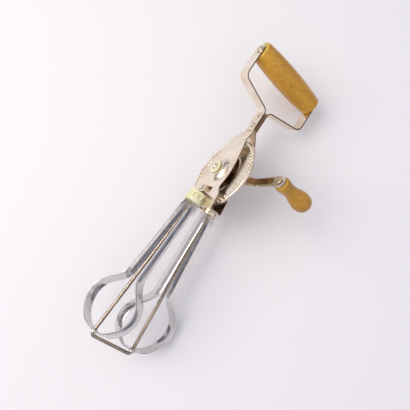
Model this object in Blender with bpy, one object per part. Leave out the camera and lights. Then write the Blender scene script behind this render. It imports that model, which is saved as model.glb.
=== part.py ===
"""Hand-cranked rotary egg beater, modelled as separate pieces in metres.

The beater stands upright: +Z runs from the guide wire's crossbar at the bottom to the wooden
grip at the top. +Y runs along the wheel's axle, from the front face to the crank side, and the
two dashers stand one in front of the other along it. The origin is the middle of the
crossbar's underside.
"""
import math

import bmesh
import bpy
from mathutils import Matrix, Vector

MM = 0.001
GAP = 0.3 * MM
RUNNING_FIT = 0.08 * MM

# Driving dimensions of the handle
GRIP_HEIGHT = 270.6 * MM
GRIP_LENGTH = 73.6 * MM
GRIP_OFFSET = 1.1 * MM
GRIP_MIDDLE_RADIUS = 11.2 * MM
GRIP_END_RADIUS = 9.2 * MM
GRIP_EDGE_ROUND = 1.6 * MM
GRIP_STEPS = 8
GRIP_SWELL_POWER = 2.2
ROD_RADIUS = 2.4 * MM
ROD_HEAD_RADIUS = 3.7 * MM
ROD_HEAD_HEIGHT = 1.7 * MM
STRAP_WIDTH = 10.6 * MM
STRAP_THICKNESS = 1.2 * MM
STRAP_FOOT_HEIGHT = 213.0 * MM
STRAP_BEND_HEIGHT = 234.0 * MM
STRAP_SHOULDER_HEIGHT = 243.0 * MM
STRAP_LOWER_BEND_RADIUS = 5.0 * MM
STRAP_SHOULDER_RADIUS = 6.0 * MM
NECK_RIVET_HEIGHTS = {"neck_rivet_upper": 228.7 * MM, "neck_rivet_lower": 218.2 * MM}
NECK_RIVET_SHANK = 1.6 * MM
NECK_RIVET_HEAD = 2.7 * MM
NECK_RIVET_RISE = 1.1 * MM

# Driving dimensions of the frame
PLATE_THICKNESS = 0.8 * MM
PLATE_INNER = 5.0 * MM
PLATE_TOP = 231.6 * MM
PLATE_FORK_TOP = 213.5 * MM
PLATE_FORK_END = 201.0 * MM
PLATE_BOTTOM = 133.6 * MM
PLATE_OUTLINE = (
    (231.6, 5.7), (214.0, 5.8), (208.0, 7.8), (200.0, 10.4), (189.0, 13.6), (178.0, 16.2), (168.0, 17.3),
    (160.0, 16.4), (154.0, 15.2), (150.5, 17.2), (147.0, 20.2), (141.0, 21.4), (133.6, 22.4),
)
# Radius and rise, in mm, of each plate's boss from its base to its top: domed in front, coned behind
BOSS_SHAPES = {
    -1: ((12.4, 0.0), (12.0, 0.0), (11.1, 1.1), (9.7, 2.1), (8.1, 2.8), (6.4, 3.1)),
    1: ((9.5, 0.0), (9.0, 0.0), (6.8, 1.2)),
}
BOSS_LAP = 0.1 * MM
BOSS_WALL_INSET = 0.8 * MM
NOTCH_HALF_WIDTH = 8.2 * MM
NOTCH_TOP = 142.9 * MM
LUG_HALF_WIDTH = 8.0 * MM
LUG_LENGTH = 7.4 * MM
LUG_CORNER = 2.6 * MM
LUG_STEP = 0.1 * MM
LUG_CORNER_STEPS = 4
WINDOW_BOTTOM = 145.4 * MM
WINDOW_TOP = 151.4 * MM
WINDOW_HALF_WIDTH = 7.6 * MM
PUNCH_MARGIN = 1.0 * MM
FOOT_INNER = 9.0 * MM
FOOT_OUTER = 21.6 * MM
FOOT_STEP = 0.1 * MM
FORK_BEND_RADII = (7.0 * MM, 9.0 * MM)
PLATE_STEPS = 26

# Driving dimensions of the drive
WHEEL_HEIGHT = 168.0 * MM
BEAD_CIRCLE = 31.7 * MM
BEAD_COUNT = 50
BEAD_RADIUS = 1.3 * MM
BEAD_CENTRE = 1.65 * MM
WHEEL_HUB_RADIUS = 6.0 * MM
WHEEL_HUB_FACE = 3.6 * MM
# Radius and half thickness of the wheel, in mm, from the dish beside its hub out to its rim
WHEEL_SECTION = ((7.4, 0.6), (17.8, 0.6), (20.2, 1.1), (33.3, 1.1), (34.2, 0.7))
AXLE_RADIUS = 2.4 * MM
AXLE_HEAD_RADIUS = 3.0 * MM
AXLE_HEAD_RISE = 1.6 * MM
AXLE_TAIL_RADIUS = 3.9 * MM
AXLE_TAIL_RISE = 1.5 * MM
BUSH_SLEEVE_RADIUS = 3.5 * MM
# Radius and thickness of each bush's flange: a moulded cap in front, a thin collar behind
BUSH_FLANGES = {-1: (5.8 * MM, 1.7 * MM), 1: (5.0 * MM, 0.6 * MM)}
BUSH_FLANGE_ROUND = 0.3 * MM
WASHER_THICKNESS = 0.8 * MM
CRANK_WASHER_RADIUS = 5.2 * MM
CRANK_RADIUS = 46.5 * MM
CRANK_ANGLE = math.radians(16.2)
CRANK_THICKNESS = 1.8 * MM
CRANK_HUB_Y = 9.1 * MM
CRANK_KNEE_Y = 18.4 * MM
CRANK_END_Y = 21.1 * MM
CRANK_BEND_START = 8.0 * MM
CRANK_BEND_END = 22.0 * MM
CRANK_BEND_RADII = (4.0 * MM, 5.0 * MM)
CRANK_HUB_RADIUS = 6.2 * MM
CRANK_END_RADIUS = 5.3 * MM
CRANK_WAIST = 3.8 * MM
CRANK_WAIST_POWER = 0.8
# Distance from the bend and half width of the arm's pressed recess, in mm
CRANK_RECESS = ((2.5, 1.0), (3.2, 2.0), (4.5, 2.5), (17.5, 2.5), (18.8, 2.0), (19.5, 1.0))
CRANK_RECESS_DEPTH = 0.6 * MM
# Radius and height of the knob's turned outline, in mm
KNOB_OUTLINE = (
    (5.9, 0.0), (6.7, 1.2), (6.6, 3.2), (5.9, 7.6), (5.6, 11.4), (6.3, 16.3), (7.6, 21.1),
    (8.2, 25.4), (7.7, 29.6), (6.1, 32.6), (4.2, 33.9),
)
# Room that the sloping end of the crank arm takes beside the knob's axis
CRANK_END_TILT = 0.2 * MM
KNOB_SINK = 1.6 * MM
KNOB_RIVET_RADIUS = 1.9 * MM
KNOB_RIVET_HEAD = 3.2 * MM
KNOB_TAIL_HEAD = 3.0 * MM
KNOB_RIVET_RISES = (0.9 * MM, 1.4 * MM)
KNOB_WASHER_RADIUS = 4.6 * MM
KNOB_WASHER_THICKNESS = 0.7 * MM

# Driving dimensions of the dashers and of the wire that guides them
WIRE_RADIUS = 1.5 * MM
WIRE_HALF_SPREAD = 20.05 * MM
WIRE_TOP_HALF_SPREAD = 9.2 * MM
WIRE_LUG_HEIGHT = 143.0 * MM
WIRE_END_HEIGHT = 145.4 * MM
WIRE_HEAD_RADIUS = 2.3 * MM
WIRE_HEAD_TOP_RADIUS = 1.65 * MM
WIRE_HEAD_ROUND = 0.35
WIRE_HEAD_SEAT = 0.02 * MM
WIRE_BEND_RADIUS = 2.8 * MM
PINION_TEETH = 11
PINION_TIP = 7.7 * MM
PINION_COLLAR = 7.8 * MM
PINION_CORE = 5.4 * MM
PINION_EDGES = (0.6 * MM, 0.4 * MM)
PINION_LAP = 0.2 * MM
# Heights along the wire of the hub's foot, the teeth's two ends and the collar's top
PINION_STATIONS = (130.5 * MM, 134.2 * MM, 138.1 * MM, 140.8 * MM)
# Half angle in degrees and drop from the tip of one tooth's flank, from its root to its crest
PINION_FLANK = ((8.6, 1.3 * MM), (5.0, 0.35 * MM), (2.4, 0.0))
RIBBON_WIDTH = 9.6 * MM
TANG_WIDTH = 8.0 * MM
RIBBON_THICKNESS = 0.8 * MM
# Distance from the wire and height along it, in mm, of the ribbon's points
RIBBON_TOP = (5.1, 133.1)
# Room on a slot's outer side for the slope of the ribbon's leg
TANG_LEAN_ROOM = 0.15 * MM
TANG_HEIGHTS = (129.4, 128.2)
RIBBON_SHOULDER = (8.3, 54.5)
RIBBON_LOBE = (
    (14.6, 47.2), (20.9, 42.2), (26.0, 36.4), (28.5, 29.6), (28.0, 22.4), (24.6, 15.4), (19.2, 9.8),
    (12.6, 5.8), (5.4, 4.2),
)
RIBBON_BOTTOM = 3.9
FRONT_DASHER_TURN = math.radians(16.0)
REAR_DASHER_TURN = math.radians(101.0)
EYELET_RADIUS = 2.5 * MM
EYELET_LIP = 0.7 * MM
EYELET_LIP_HEIGHT = 0.5 * MM
EYELET_RISE = 1.2 * MM
WIRE_SIDES = 12

WIRE_ROOT_HEIGHT = WIRE_RADIUS
WIRE_LEAN = math.atan2(WIRE_HALF_SPREAD - WIRE_TOP_HALF_SPREAD, WIRE_LUG_HEIGHT - WIRE_ROOT_HEIGHT)
PLATE_NECK = GAP / 2 + PLATE_THICKNESS / 2
PLATE_MIDDLE = PLATE_INNER + PLATE_THICKNESS / 2
PLATE_OUTER = PLATE_INNER + PLATE_THICKNESS
STRAP_NECK = GAP / 2 + PLATE_THICKNESS + GAP + STRAP_THICKNESS / 2
CUT_THROUGH = 10 * MM
ROUND_END_SWEEP = math.radians(84)
WIRE_BORE = WIRE_RADIUS / math.cos(math.pi / WIRE_SIDES) + RUNNING_FIT
AXIS_Z = Vector((0, 0, 1))

STEEL = ((0.80, 0.76, 0.70), 0.22, 1.0)
CHROME = ((0.78, 0.78, 0.80), 0.14, 1.0)
WIRE_STEEL = ((0.55, 0.48, 0.40), 0.25, 1.0)
WOOD = ((0.58, 0.33, 0.07), 0.35, 0.0)
NYLON = ((0.80, 0.77, 0.50), 0.45, 0.0)


def clear_scene():
    """Removes whatever the new file starts with."""
    for item in list(bpy.data.objects):
        bpy.data.objects.remove(item, do_unlink=True)


def add_material(obj, finish):
    """Gives an object its own Principled material."""
    colour, roughness, metallic = finish
    material = bpy.data.materials.new(obj.name)
    material.use_nodes = True
    shader = material.node_tree.nodes["Principled BSDF"]
    shader.inputs["Base Color"].default_value = (*colour, 1.0)
    shader.inputs["Roughness"].default_value = roughness
    shader.inputs["Metallic"].default_value = metallic
    obj.data.materials.append(material)


def add_object(name, bm, finish=None, matrix=None):
    """Turns a bmesh into a placed object; without a finish it is only a cutter."""
    bmesh.ops.remove_doubles(bm, verts=bm.verts[:], dist=1e-7)
    bmesh.ops.recalc_face_normals(bm, faces=bm.faces[:])
    mesh = bpy.data.meshes.new(name)
    bm.to_mesh(mesh)
    bm.free()
    obj = bpy.data.objects.new(name, mesh)
    bpy.context.scene.collection.objects.link(obj)
    if matrix is not None:
        obj.matrix_world = matrix
    if finish is None:
        obj.hide_render = True
        obj.display_type = "WIRE"
    else:
        mesh.shade_smooth()
        mesh.set_sharp_from_angle(angle=math.radians(35))
        add_material(obj, finish)
    return obj


def boolean(obj, other, operation):
    """Adds an exact Boolean of a cutter or an added shape to an object."""
    modifier = obj.modifiers.new(f"{operation.lower()}_{other.name}", "BOOLEAN")
    modifier.operation = operation
    modifier.solver = "EXACT"
    modifier.object = other


def along_y(location):
    """A frame whose Z runs along +Y, with X kept."""
    return Matrix.Translation(location) @ Matrix.Rotation(-math.pi / 2, 4, "X")


def turned(profile, segments):
    """A bmesh spun about Z from a closed or axis-to-axis profile of (radius, height)."""
    bm = bmesh.new()
    verts = [bm.verts.new((radius, 0, height)) for radius, height in profile]
    edges = [bm.edges.new(pair) for pair in zip(verts, verts[1:])]
    if profile[0][0] > 1e-9:
        edges.append(bm.edges.new((verts[-1], verts[0])))
    bmesh.ops.spin(
        bm, geom=verts + edges, cent=(0, 0, 0), axis=AXIS_Z, angle=2 * math.pi, steps=segments, use_merge=True
    )
    return bm


def cylinder(radius, low, high, segments=32):
    """A bmesh cylinder about Z between two heights."""
    return turned(((0, low), (radius, low), (radius, high), (0, high)), segments)


def block(low, high):
    """A bmesh box between two corners."""
    bm = bmesh.new()
    bmesh.ops.create_cube(bm, size=1.0)
    size = Vector(high) - Vector(low)
    bmesh.ops.scale(bm, vec=size, verts=bm.verts[:])
    bmesh.ops.translate(bm, vec=(Vector(high) + Vector(low)) / 2, verts=bm.verts[:])
    return bm


def dome(radius, rise, base, direction, steps=3):
    """Profile points of a shallow dome, from its rim to its crown."""
    points = []
    for step in range(steps + 1):
        angle = math.pi / 2 * step / steps
        points.append((radius * math.cos(angle), base + direction * rise * math.sin(angle)))
    points[-1] = (0.0, base + direction * rise)
    return points


def filleted(points, radii, steps=5):
    """A polyline in a plane with each inner corner rounded to its radius."""
    out = [Vector(points[0])]
    for before, corner, after, radius in zip(points, points[1:], points[2:], radii):
        corner = Vector(corner)
        back = (Vector(before) - corner).normalized()
        ahead = (Vector(after) - corner).normalized()
        half = back.angle(ahead) / 2
        reach = radius / math.tan(half)
        centre = corner + (back + ahead).normalized() * (radius / math.sin(half))
        start = corner + back * reach - centre
        end = corner + ahead * reach - centre
        sweep = start.angle(end)
        for step in range(steps + 1):
            part = step / steps
            weights = (math.sin((1 - part) * sweep), math.sin(part * sweep))
            out.append(centre + (start * weights[0] + end * weights[1]) / math.sin(sweep))
    out.append(Vector(points[-1]))
    return out


def smooth_through(points, steps):
    """A Catmull-Rom curve through points, with a number of steps between each two."""
    ends = [points[0] * 2 - points[1], *points, points[-1] * 2 - points[-2]]
    out = [points[0].copy()]
    for a, b, c, d in zip(ends, ends[1:], ends[2:], ends[3:]):
        for step in range(1, steps + 1):
            t = step / steps
            slope = (c - a) * t
            bend = (a * 2 - b * 5 + c * 4 - d) * t ** 2
            twist = (b * 3 - a - c * 3 + d) * t ** 3
            out.append((b * 2 + slope + bend + twist) / 2)
    return out


def strip(path, half_widths, thickness):
    """A flat strip bent along a path of (y, z) points, with its width along X."""
    bm = bmesh.new()
    rings = []
    for index, point in enumerate(path):
        before = path[max(index - 1, 0)]
        after = path[min(index + 1, len(path) - 1)]
        heading_in = (point - before).normalized() if index else (after - point).normalized()
        heading_out = (after - point).normalized() if index < len(path) - 1 else heading_in
        tangent = (heading_in + heading_out).normalized()
        stretch = 1 / max(tangent.dot(heading_in), 0.5)
        offset = Vector((-tangent.y, tangent.x)) * (thickness / 2 * stretch)
        half = half_widths[index]
        ring = []
        for side, face in ((-1, 1), (1, 1), (1, -1), (-1, -1)):
            spot = point + offset * face
            ring.append(bm.verts.new((side * half, spot.x, spot.y)))
        rings.append(ring)
    for lower, upper in zip(rings, rings[1:]):
        for k in range(4):
            bm.faces.new((lower[k], lower[(k + 1) % 4], upper[(k + 1) % 4], upper[k]))
    bm.faces.new(rings[0])
    bm.faces.new(reversed(rings[-1]))
    return bm


def round_end(centre, direction, radius, steps=6):
    """Path points and half widths that finish a strip in a half circle."""
    points = []
    widths = []
    for step in range(steps + 1):
        angle = ROUND_END_SWEEP * step / steps
        points.append(Vector(centre) + Vector(direction) * (radius * math.sin(angle)))
        widths.append(radius * math.cos(angle))
    return points, widths


def tube(path, radii, sides=WIRE_SIDES):
    """A round wire swept along a path of (y, z) points, with a flat facing along the path's normal."""
    bm = bmesh.new()
    rings = []
    for index, point in enumerate(path):
        before = path[max(index - 1, 0)]
        after = path[min(index + 1, len(path) - 1)]
        tangent = (after - before).normalized()
        normal = Vector((-tangent.y, tangent.x))
        ring = []
        for side in range(sides):
            angle = 2 * math.pi * (side + 0.5) / sides
            reach = radii[index] / math.cos(math.pi / sides)
            across = reach * math.sin(angle)
            spot = point + normal * (reach * math.cos(angle))
            ring.append(bm.verts.new((across, spot.x, spot.y)))
        rings.append(ring)
    for lower, upper in zip(rings, rings[1:]):
        for k in range(sides):
            bm.faces.new((lower[k], lower[(k + 1) % sides], upper[(k + 1) % sides], upper[k]))
    bm.faces.new(rings[0])
    bm.faces.new(reversed(rings[-1]))
    return bm


def drill(obj, name, radius, low, high, matrix, segments=32):
    """Cuts a round hole along a frame's Z axis."""
    cutter = add_object(f"{name}_cutter", cylinder(radius, low, high, segments), matrix=matrix)
    boolean(obj, cutter, "DIFFERENCE")


def punch(obj, name, half_width, side, bottom, top):
    """Cuts a square opening through one frame plate."""
    near, far = sorted((side * (PLATE_INNER - PUNCH_MARGIN), side * (PLATE_OUTER + PUNCH_MARGIN)))
    cutter = block((-half_width, near, bottom), (half_width, far, top))
    boolean(obj, add_object(name, cutter), "DIFFERENCE")


def add_rivet(name, matrix, shank, heads, low, high, finish, rises, segments=24):
    """A shank with a domed head at each end, about a frame's Z axis."""
    first = dome(heads[0], rises[0], low, -1)
    last = dome(heads[1], rises[1], high, 1)
    profile = list(reversed(first)) + [(shank, low), (shank, high)] + last
    return add_object(name, turned(profile, segments), finish, matrix)


def add_washer(name, matrix, inner, outer, low, high, finish, segments=32):
    """A flat ring about a frame's Z axis."""
    ring = turned(((inner, low), (outer, low), (outer, high), (inner, high)), segments)
    return add_object(name, ring, finish, matrix)


def drill_neck(obj, name):
    """Drills an object for both rivets through the neck."""
    for rivet, height in NECK_RIVET_HEIGHTS.items():
        axis = along_y((0, 0, height))
        drill(obj, f"{name}_{rivet}", NECK_RIVET_SHANK + GAP, -CUT_THROUGH, CUT_THROUGH, axis, 24)


def boss_outer(side):
    """How far the top of a plate's boss stands from the middle of the beater."""
    return PLATE_OUTER + BOSS_SHAPES[side][-1][1] * MM


def bush_outer(side):
    """How far the outer face of an axle bush stands from the middle of the beater."""
    return boss_outer(side) + GAP + BUSH_FLANGES[side][1]


def build_grip():
    """The wooden grip, bored for its rod."""
    half = GRIP_LENGTH / 2
    profile = []
    for step in range(GRIP_STEPS + 1):
        place = -half + GRIP_EDGE_ROUND + (GRIP_LENGTH - 2 * GRIP_EDGE_ROUND) * step / GRIP_STEPS
        swell = 1 - abs(place / half) ** GRIP_SWELL_POWER
        profile.append((GRIP_END_RADIUS + (GRIP_MIDDLE_RADIUS - GRIP_END_RADIUS) * swell, place))
    bore = ROD_RADIUS + GAP
    rim = profile[0][0] - GRIP_EDGE_ROUND
    inset = GRIP_EDGE_ROUND * 0.3
    chamfer = profile[0][0] - inset
    ends = [(bore, -half), (rim, -half), (chamfer, -half + inset)]
    profile = ends + profile + [(chamfer, half - inset), (rim, half), (bore, half)]
    frame = along_y((0, GRIP_OFFSET, GRIP_HEIGHT))
    add_object("handle_grip", turned(profile, 28), WOOD, frame)
    seat = half + GAP + STRAP_THICKNESS + GAP
    add_rivet(
        "grip_rod", frame, ROD_RADIUS, (ROD_HEAD_RADIUS, ROD_HEAD_RADIUS), -seat, seat, STEEL,
        (ROD_HEAD_HEIGHT, ROD_HEAD_HEIGHT)
    )


def build_strap(name, side):
    """One bent strap of the handle; side is -1 in front and +1 behind."""
    radius = STRAP_WIDTH / 2
    spread = GRIP_OFFSET + side * (GRIP_LENGTH / 2 + GAP + STRAP_THICKNESS / 2)
    corners = [
        (side * STRAP_NECK, STRAP_FOOT_HEIGHT),
        (side * STRAP_NECK, STRAP_BEND_HEIGHT),
        (spread, STRAP_SHOULDER_HEIGHT),
        (spread, GRIP_HEIGHT),
    ]
    path = filleted(corners, (STRAP_LOWER_BEND_RADIUS, STRAP_SHOULDER_RADIUS), 6)
    widths = [radius] * len(path)
    end, end_widths = round_end(corners[-1], (0, 1), radius)
    path += end[1:]
    widths += end_widths[1:]
    strap = add_object(name, strip(path, widths, STRAP_THICKNESS), STEEL)
    rod_axis = along_y((0, spread, GRIP_HEIGHT))
    drill(strap, f"{name}_rod", ROD_RADIUS + GAP, -CUT_THROUGH, CUT_THROUGH, rod_axis)
    drill_neck(strap, name)


def plate_half_width(outline, height):
    """The frame plate's half width at a height, from its smoothed outline."""
    for upper, lower in zip(outline, outline[1:]):
        if lower.x <= height <= upper.x:
            part = (height - lower.x) / (upper.x - lower.x)
            return lower.y + (upper.y - lower.y) * part
    return outline[-1].y if height < outline[-1].x else outline[0].y


def build_plate(name, side):
    """One frame plate with its neck, axle boss, pinion notch, lug and window."""
    outline = smooth_through([Vector(point) * MM for point in PLATE_OUTLINE], 4)
    corners = [
        (side * PLATE_NECK, PLATE_TOP),
        (side * PLATE_NECK, PLATE_FORK_TOP),
        (side * PLATE_MIDDLE, PLATE_FORK_END),
        (side * PLATE_MIDDLE, PLATE_BOTTOM),
    ]
    bends = filleted(corners, FORK_BEND_RADII, 5)
    path = bends[:-1]
    start = path[-1].y
    for step in range(1, PLATE_STEPS + 1):
        path.append(Vector((side * PLATE_MIDDLE, start + (PLATE_BOTTOM - start) * step / PLATE_STEPS)))
    widths = [plate_half_width(outline, point.y) for point in path]
    plate = add_object(name, strip(path, widths, PLATE_THICKNESS), STEEL)

    punch(plate, f"{name}_notch", NOTCH_HALF_WIDTH, side, PLATE_BOTTOM - CUT_THROUGH, NOTCH_TOP)
    punch(plate, f"{name}_window", WINDOW_HALF_WIDTH, side, WINDOW_BOTTOM, WINDOW_TOP)
    add_lug(plate, name, side)
    drill_neck(plate, name)
    if side < 0:
        add_feet(plate)
    add_boss(plate, name, side)


def add_lug(plate, name, side):
    """Folds the lug above a plate's notch outwards and drills it for the guide wire."""
    lug_middle = NOTCH_TOP + LUG_STEP + PLATE_THICKNESS / 2
    lug_end = side * (PLATE_OUTER + LUG_LENGTH)
    lug_path = [Vector((side * PLATE_MIDDLE, lug_middle)), Vector((lug_end - side * LUG_CORNER, lug_middle))]
    lug_widths = [LUG_HALF_WIDTH, LUG_HALF_WIDTH]
    for step in range(1, LUG_CORNER_STEPS + 1):
        angle = math.pi / 2 * step / LUG_CORNER_STEPS
        lug_path.append(Vector((lug_end - side * LUG_CORNER * (1 - math.sin(angle)), lug_middle)))
        lug_widths.append(LUG_HALF_WIDTH - LUG_CORNER * (1 - math.cos(angle)))
    boolean(plate, add_object(f"{name}_lug", strip(lug_path, lug_widths, PLATE_THICKNESS)), "UNION")
    wire_here = side * (WIRE_TOP_HALF_SPREAD - (lug_middle - WIRE_LUG_HEIGHT) * math.tan(WIRE_LEAN))
    axis = Matrix.Translation((0, wire_here, 0))
    low = lug_middle - PLATE_THICKNESS
    high = lug_middle + PLATE_THICKNESS
    drill(plate, f"{name}_wire", WIRE_RADIUS + GAP, low, high, axis, 24)


def add_feet(plate):
    """Folds two feet under the wheel, which reach back to the rear plate."""
    low = PLATE_BOTTOM + FOOT_STEP
    for way in (-1, 1):
        ends = sorted((way * FOOT_INNER, way * FOOT_OUTER))
        foot = block((ends[0], -PLATE_MIDDLE, low), (ends[1], PLATE_INNER - GAP, low + PLATE_THICKNESS))
        boolean(plate, add_object(f"frame_foot_{'left' if way < 0 else 'right'}", foot), "UNION")


def add_boss(plate, name, side):
    """Presses the raised boss round the axle's bush out of a plate."""
    axle = along_y((0, 0, WHEEL_HEIGHT))
    outside = [(radius * MM, rise * MM) for radius, rise in BOSS_SHAPES[side]]
    base = outside[0][0]
    drill(plate, f"{name}_boss_seat", base - BOSS_WALL_INSET, *sorted((0, side * CUT_THROUGH)), axle)
    hole = BUSH_SLEEVE_RADIUS + GAP
    crown = outside[-1][1]
    shell = [(base, PLATE_INNER + BOSS_LAP)]
    shell += [(radius, max(PLATE_OUTER + rise, PLATE_OUTER - BOSS_LAP)) for radius, rise in outside]
    shell += [(hole, PLATE_OUTER + crown), (hole, PLATE_INNER + crown)]
    for radius, rise in reversed(outside[1:]):
        shell.append((radius - BOSS_WALL_INSET, PLATE_INNER + max(rise, BOSS_LAP)))
    boss = turned([(radius, side * height) for radius, height in shell], 32)
    boolean(plate, add_object(f"{name}_boss", boss, matrix=axle), "UNION")


def build_frame():
    """Both frame plates and the rivets through the neck."""
    build_plate("front_frame_plate", -1)
    build_plate("rear_frame_plate", 1)
    seat = STRAP_NECK + STRAP_THICKNESS / 2 + GAP
    for name, height in NECK_RIVET_HEIGHTS.items():
        heads = (NECK_RIVET_HEAD, NECK_RIVET_HEAD)
        rises = (NECK_RIVET_RISE, NECK_RIVET_RISE)
        add_rivet(name, along_y((0, 0, height)), NECK_RIVET_SHANK, heads, -seat, seat, STEEL, rises, 16)


def build_wheel():
    """The drive wheel with a ring of drive beads on each face."""
    half = [(AXLE_RADIUS + GAP, WHEEL_HUB_FACE), (WHEEL_HUB_RADIUS, WHEEL_HUB_FACE)]
    half += [(radius * MM, height * MM) for radius, height in WHEEL_SECTION]
    front = [(radius, -height) for radius, height in half]
    rear = [(radius, height) for radius, height in reversed(half)]
    wheel = add_object("drive_wheel", turned(front + rear, BEAD_COUNT), STEEL, along_y((0, 0, WHEEL_HEIGHT)))
    beads = bmesh.new()
    for face in (-1, 1):
        for index in range(BEAD_COUNT):
            angle = 2 * math.pi * index / BEAD_COUNT
            spot = Matrix.Translation(
                (BEAD_CIRCLE * math.sin(angle), BEAD_CIRCLE * math.cos(angle), face * BEAD_CENTRE)
            )
            bmesh.ops.create_uvsphere(beads, u_segments=6, v_segments=4, radius=BEAD_RADIUS, matrix=spot)
    boolean(wheel, add_object("drive_beads", beads, matrix=along_y((0, 0, WHEEL_HEIGHT))), "UNION")


def build_axle():
    """The axle, the bushes it runs in and the washers beside the wheel."""
    frame = along_y((0, 0, WHEEL_HEIGHT))
    tail = CRANK_HUB_Y + CRANK_THICKNESS / 2 + GAP + WASHER_THICKNESS + GAP
    head = -(bush_outer(-1) + GAP)
    radii = (AXLE_HEAD_RADIUS, AXLE_TAIL_RADIUS)
    rises = (AXLE_HEAD_RISE, AXLE_TAIL_RISE)
    add_rivet("wheel_axle", frame, AXLE_RADIUS, radii, head, tail, STEEL, rises, 32)
    bore = AXLE_RADIUS + RUNNING_FIT
    for name, side, finish in (("front_axle_bush", -1, NYLON), ("rear_axle_bush", 1, STEEL)):
        near = side * (boss_outer(side) + GAP)
        far = side * bush_outer(side)
        shoulder = far - side * BUSH_FLANGE_ROUND
        radius = BUSH_FLANGES[side][0]
        profile = (
            (bore, side * PLATE_INNER), (BUSH_SLEEVE_RADIUS, side * PLATE_INNER),
            (BUSH_SLEEVE_RADIUS, near), (radius, near), (radius, shoulder),
            (radius - BUSH_FLANGE_ROUND, far), (bore, far),
        )
        add_object(name, turned(profile, 32), finish, frame)
    for name, side in (("front_axle_washer", -1), ("rear_axle_washer", 1)):
        near = side * (WHEEL_HUB_FACE + GAP)
        far = near + side * WASHER_THICKNESS
        add_washer(name, frame, AXLE_RADIUS + GAP, WHEEL_HUB_RADIUS, near, far, STEEL)
    low = CRANK_HUB_Y + CRANK_THICKNESS / 2 + GAP
    high = low + WASHER_THICKNESS
    add_washer("crank_washer", frame, AXLE_RADIUS + GAP, CRANK_WASHER_RADIUS, low, high, STEEL)


def crank_half_width(reach):
    """The crank arm's half width at a distance from the axle."""
    part = min(max(reach / CRANK_RADIUS, 0), 1)
    ends = CRANK_HUB_RADIUS + (CRANK_END_RADIUS - CRANK_HUB_RADIUS) * part
    return ends - (ends - CRANK_WAIST) * math.sin(math.pi * part) ** CRANK_WAIST_POWER


def build_crank():
    """The cranked arm with its long pressed recess."""
    corners = [
        (CRANK_HUB_Y, 0.0), (CRANK_HUB_Y, CRANK_BEND_START), (CRANK_KNEE_Y, CRANK_BEND_END),
        (CRANK_END_Y, CRANK_RADIUS),
    ]
    bends = filleted(corners, CRANK_BEND_RADII, 4)
    hub, hub_widths = round_end((CRANK_HUB_Y, 0), (0, -1), CRANK_HUB_RADIUS)
    slope = (Vector(corners[3]) - Vector(corners[2])).normalized()
    end, end_widths = round_end(corners[3], slope, CRANK_END_RADIUS)
    path = list(reversed(hub))[:-1]
    widths = list(reversed(hub_widths))[:-1]
    knee = bends[-2]
    middle = [knee + (bends[-1] - knee) * (step / 6) for step in range(1, 6)]
    for point in [*bends[:-1], *middle]:
        path.append(point)
        widths.append(crank_half_width(point.y))
    path += end
    widths += end_widths
    frame = Matrix.Translation((0, 0, WHEEL_HEIGHT)) @ Matrix.Rotation(math.pi / 2 - CRANK_ANGLE, 4, "Y")
    arm = add_object("crank_arm", strip(path, widths, CRANK_THICKNESS), STEEL, frame)
    axle_axis = along_y((0, CRANK_HUB_Y - CUT_THROUGH / 2, WHEEL_HEIGHT))
    drill(arm, "crank_arm_axle", AXLE_RADIUS + GAP, 0, CUT_THROUGH, axle_axis)
    knob_axis = along_y(crank_end())
    drill(arm, "crank_arm_knob", KNOB_RIVET_RADIUS + GAP, -CUT_THROUGH, CUT_THROUGH, knob_axis, 24)

    front = Vector((-slope.y, slope.x)) * (CRANK_THICKNESS / 2)
    recess_path = [Vector(corners[2]) + slope * (reach * MM) + front for reach, _ in CRANK_RECESS]
    recess_widths = [half * MM for _, half in CRANK_RECESS]
    recess = strip(recess_path, recess_widths, 2 * CRANK_RECESS_DEPTH)
    boolean(arm, add_object("crank_arm_recess", recess, matrix=frame), "DIFFERENCE")


def crank_end():
    """The knob's axis where it crosses the middle of the crank arm."""
    across = CRANK_RADIUS * math.cos(CRANK_ANGLE)
    return Vector((across, CRANK_END_Y, WHEEL_HEIGHT + CRANK_RADIUS * math.sin(CRANK_ANGLE)))


def build_knob():
    """The turned wooden knob, its washer and the long rivet it turns on."""
    frame = along_y(crank_end())
    face = CRANK_THICKNESS / 2 + CRANK_END_TILT
    washer_low = face + GAP
    washer_high = washer_low + KNOB_WASHER_THICKNESS
    base = washer_high + GAP
    hole = KNOB_RIVET_RADIUS + GAP
    add_washer("knob_washer", frame, hole, KNOB_WASHER_RADIUS, washer_low, washer_high, STEEL, 24)
    profile = [(radius * MM, base + height * MM) for radius, height in KNOB_OUTLINE]
    tip = profile[-1][1]
    bore = KNOB_RIVET_RADIUS + RUNNING_FIT
    sink = KNOB_RIVET_HEAD + GAP
    profile = [(bore, base), *profile, (sink, tip), (sink, tip - KNOB_SINK), (bore, tip - KNOB_SINK)]
    add_object("crank_knob", turned(profile, 24), WOOD, frame)
    add_rivet(
        "knob_rivet", frame, KNOB_RIVET_RADIUS, (KNOB_RIVET_HEAD, KNOB_TAIL_HEAD), -(face + GAP),
        tip - KNOB_SINK + GAP, STEEL, KNOB_RIVET_RISES
    )


def dasher_frame(side, turn):
    """The frame of a dasher: Z up its wire from the crossbar's centre line, turned to its wings."""
    lean = Matrix.Rotation(side * WIRE_LEAN, 4, "X")
    spot = Matrix.Translation((0, side * WIRE_HALF_SPREAD, WIRE_ROOT_HEIGHT))
    return spot @ lean @ Matrix.Rotation(turn, 4, "Z")


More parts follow.
